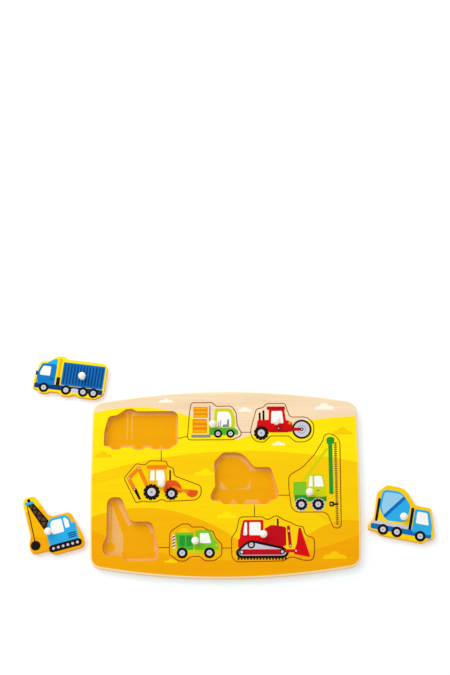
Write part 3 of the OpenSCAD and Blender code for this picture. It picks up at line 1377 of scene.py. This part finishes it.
@dataclass
class Rig(Vehicle):
    """A green piling rig with its drill."""

    name: str = "rig"
    spot: Point = (93.5, -11.75)
    drill: Part = Print(1, Ink.BROWN, box(29.9, -36, 30.6, 58))
    flights: Part = Print(1, Ink.BROWN, *box(28.6, -35, 31.9, -33.8).row(39, (0, 2.4)))
    boom: Part = Print(1, Ink.LIME, bar((-8, 12), (21, 51), 2.8, 1))
    mast: Part = Print(2, Ink.FOREST, box(22.2, -1, 26.7, 62, 0.8))
    engine: Part = Print(2, Ink.LEAF, box(-17.5, -4.5, -3, 13, 1.5))
    base: Part = Print(2, Ink.FOREST, box(-16.5, -9, 19, -2, 1.5))
    head: Part = Print(3, Ink.FOREST, area(1.5, (20.5, 56), (28.5, 56), (29.5, 62.5), (26, 64.5), (20.5, 63)))
    cab: Part = Print(3, Ink.LIME, area(2, (-3.5, -4), (18.5, -4), (18.5, 6), (15.5, 22), (-1, 22)))
    clamp_bar: Part = Print(3, Ink.BLACK, box(26, -13.4, 32, -11.4, 0.6))
    clamp: Part = Print(4, Ink.BLACK, box(22, -15, 27, -9.5, 1))
    rear_window: Part = Print(4, Ink.WHITE, area(1.2, (-0.8, 7.5), (3.8, 7.5), (3.8, 19.5), (0.8, 19.5)))
    window: Part = Print(4, Ink.WHITE, area(1.2, (6, 7.5), (16.2, 7.5), (14, 19.5), (6, 19.5)))
    handle: Part = Print(4, Ink.FOREST, box(8, 2.6, 11.4, 3.8, 0.5))
    arches: Part = Print(4, Ink.SILVER, *discs(((-9, -12.5), (9.5, -12.5)), 7.4))
    clamp_eye: Part = Print(5, Ink.GOLD, Disc((24.3, -12.2), 1.1))
    wheels: Part = Wheels(5, (-9, 9.5), -12.5, 5.9, 3.2, 11)


@dataclass
class Crane(Vehicle):
    """A sky-blue crawler crane with a swinging ball."""

    name: str = "crane"
    spot: Point = (-110, -59.75)
    turn: float = 15
    rope: Part = Print(1, Ink.BLACK, bar((-17, -6), (-16, 36), 1.1))
    ball: Part = Print(1, Ink.BLACK, Disc((-17.3, -10.5), 5.4))
    left_rail: Segment = ((-15, 37), (-3, 3))
    right_rail: Segment = ((-10.5, 38.5), (6, 5))
    boom_ground: Part = Print(1, Ink.UMBER, area(0, *left_rail[:1], *right_rail, *left_rail[1:]))
    boom: Part = Detail(1, Ink.BLACK, *lattice((left_rail, right_rail), 9, 1.6))
    body: Part = Print(1, Ink.SKY, box(-2.5, -15, 31, 4, 2))
    tip: Part = Print(2, Ink.SKY, box(-18, 35.8, -8.6, 39, 1))
    knob: Part = Print(2, Ink.BLACK, Disc((-13, 40.3), 1.9))
    cab: Part = Print(
        2, Ink.SKY, area(2.5, (0.5, -6), (26.5, -6), (26.5, 9), (22.5, 14.5), (4.5, 14.5), (0.5, 9))
    )
    track: Part = Print(2, Ink.BLACK, box(-4, -22.8, 33, -14.6, 3.9))
    window: Part = Print(3, Ink.WHITE, area(1.8, (3.5, -3.5), (17, -3.5), (17, 11.8), (5.8, 11.8), (3.5, 8)))
    side_window: Part = Print(3, Ink.WHITE, area(1.2, (19, 0), (24, 0), (24, 8), (21.2, 11.8), (19, 11.8)))
    vents: Part = Print(3, Ink.NAVY, *box(20, -12, 29, -10.8, 0.5).row(3, (0, 2.2)))
    road_wheels: Part = Print(3, Ink.SILVER, *Disc((1, -18.7), 1.5).row(6, (5.4, 0)))


@dataclass
class Tipper(Vehicle):
    """A small green tipper with a load of sand."""

    name: str = "tipper"
    spot: Point = (-33, -65.25)
    heap: Part = Print(1, Ink.GOLD, area(2, (-20, 9), (-14.5, 15.5), (-10, 15), (-3.5, 9)))
    tail: Part = Print(1, Ink.CLOUD, box(-25.2, -7, -22.4, 8, 0.5))
    chassis: Part = Print(1, Ink.LIME, box(-23.5, -12.5, 26, -8, 1.5))
    tail_mark: Mark = area(0, (-25.2, -6.2), (-22.4, -4.4), (-22.4, -2.6), (-25.2, -4.4))
    tail_marks: Part = Print(2, Ink.UMBER, *tail_mark.row(4, (0, 3.4)))
    bed: Part = Print(2, Ink.GREEN, area(1, (-19.5, -9), (-2, -9), (-2, 10.5), (-22, 10.5)))
    cab: Part = Print(
        2, Ink.LEAF, area(2.2, (-1.5, -9), (25.5, -9), (25.5, -1), (20, 4), (16.5, 13), (0, 13))
    )
    bed_rail: Part = Print(3, Ink.LEAF, box(-21.6, 7.9, -2.2, 10.3, 0.8))
    bed_panels: Part = Print(3, Ink.FOREST, *box(-17.5, -5, -11.5, 7, 1).row(2, (7.6, 0)))
    window: Part = Print(3, Ink.WHITE, area(1.5, (5, -1.5), (17.5, -1.5), (14.5, 9.8), (5, 9.8)))
    lamp: Part = Print(3, Ink.LIME, Disc((23.6, -4), 1.5))
    wheels: Part = Wheels(3, (-14.5, 15.5), -12.2, 6, 3.2)


@dataclass
class Bulldozer(Vehicle):
    """A red bulldozer."""

    name: str = "bulldozer"
    spot: Point = (42, -58.25)
    exhaust: Part = Print(1, Ink.BLACK, box(15, 9, 17, 18.5, 0.6))
    blade: Part = Print(1, Ink.RED, area(1, (38.8, 8), (41.2, 8), (51.2, -24.6), (33, -21), (36.6, -8.5)))
    ram: Part = Print(1, Ink.CRIMSON, bar((27.5, 10.5), (29.5, -14), 3.4, 1.4))
    skirt: Part = Print(1, Ink.RED, box(-28, -14, 22, -4, 1.5))
    pads: Part = Print(1, Ink.BLACK, *box(-28.8, -27.2, -26.6, -24.6).row(16, (3.45, 0)))
    hood: Part = Print(2, Ink.CRIMSON, area(2, (-2, -12), (25, -12), (25, 9), (9, 11.5), (1, 7)))
    track_foot: Segment = ((-28, -25.5), (24, -25.5))
    track_back: tuple[Point, ...] = ((29, -19), (23, -13.5), (-11, -5.5), (-18, -6.5))
    track: Part = Print(2, Ink.BLACK, area(3.5, (-31.5, -18), *track_foot, *track_back))
    cab: Part = Print(3, Ink.RED, area(1.5, (-26.5, -6), (0, -6), (0, 17), (-22, 17), (-25, 6)))
    frame_foot: Segment = ((-26, -22.5), (23, -22.5))
    frame_back: tuple[Point, ...] = ((25.5, -19), (22, -16), (-11, -8.5), (-17, -9))
    track_frame: Part = Print(3, Ink.SILVER, area(2.5, (-28, -18), *frame_foot, *frame_back))
    rear_window: Part = Print(4, Ink.WHITE, area(1.4, (-22.5, 0), (-18, 0), (-18, 14.5), (-20.5, 14.5)))
    window: Part = Print(4, Ink.WHITE, area(1.4, (-15.5, 0), (-3, 0), (-3, 14.5), (-15.5, 14.5)))
    beam: Part = Print(4, Ink.CRIMSON, box(-25, -21.8, 22.5, -15.6, 3))
    push_arm: Part = Print(4, Ink.RED, bar((14, -17.5), (38, -17.5), 3.4, 1.4))
    sprocket: Part = Wheels(4, (-13.5,), -10.5, 4.2, 2.4)
    idlers: Part = Rings(5, ((-24, -18.5), (20.5, -18.5)), ((Ink.BLACK, 2.9), (Ink.SILVER, 1.6)))
    pins: Part = Print(5, Ink.SILVER, *discs(((27.9, 4.5), (29.3, -12), (35.5, -17.5)), 1))


@dataclass
class Studio:
    """Pale floor, soft light from above and a camera at the photographer's place.

    Its places and sizes are metres, its angles degrees, its lens millimetres and its power watts.
    """

    finishes: Finishes
    floor_size: float = 20.0
    floor_drop: float = 0.0002
    camera_place: Triple = (0.001, -0.37445, 1.8308)
    camera_tilt: float = 16.617
    camera_roll: float = -0.353
    lens: float = 88.9
    sky_light: Light = (1.0, 1.0, 1.0, 1.0)
    sky_strength: float = 0.71
    key_place: Triple = (-1.5, 1.6, 1.8)
    key_size: float = 3.0
    key_power: float = 54.0

    def build_floor(self) -> None:
        """Builds the floor."""
        shape = bmesh.new()
        drop = Matrix.Translation((0.0, 0.0, -self.floor_drop))
        bmesh.ops.create_grid(shape, x_segments=1, y_segments=1, size=self.floor_size / 2, matrix=drop)
        make_piece("floor", shape, (self.finishes.floor,))

    def build_light(self) -> None:
        """Hangs one large soft light and fills the room with white light."""
        world = bpy.data.worlds.new("studio")
        world.use_nodes = True
        sky = world.node_tree.nodes["Background"]
        sky.inputs["Color"].default_value = self.sky_light
        sky.inputs["Strength"].default_value = self.sky_strength
        bpy.context.scene.world = world
        lamp = bpy.data.lights.new("key", "AREA")
        lamp.energy = self.key_power
        lamp.size = self.key_size
        key = bpy.data.objects.new("key", lamp)
        key.location = self.key_place
        key.rotation_euler = (-Vector(self.key_place)).to_track_quat("-Z", "Y").to_euler()
        bpy.context.scene.collection.objects.link(key)

    def build_camera(self) -> None:
        """Sets up the camera."""
        lens = bpy.data.cameras.new("camera")
        lens.lens = self.lens
        camera = bpy.data.objects.new("camera", lens)
        tilt = Matrix.Rotation(math.radians(self.camera_tilt), 4, "X")
        roll = Matrix.Rotation(math.radians(self.camera_roll), 4, "Z")
        camera.matrix_world = Matrix.Translation(self.camera_place) @ tilt @ roll
        bpy.context.scene.collection.objects.link(camera)
        bpy.context.scene.camera = camera

    def build(self) -> None:
        """Builds the floor, the light and the camera."""
        self.build_floor()
        self.build_light()
        self.build_camera()
        bpy.context.scene.view_settings.view_transform = "Standard"


def main() -> None:
    """Builds the puzzle and its studio."""
    logging.basicConfig(level=logging.INFO, format="%(name)s: %(message)s")
    finishes = Finishes()
    Board(finishes).build()
    for kind in (Truck, Forklift, Roller, Backhoe, Mixer, Rig, Crane, Tipper, Bulldozer):
        kind(finishes).build()
    Studio(finishes).build()


if __name__ == "__main__":
    main()
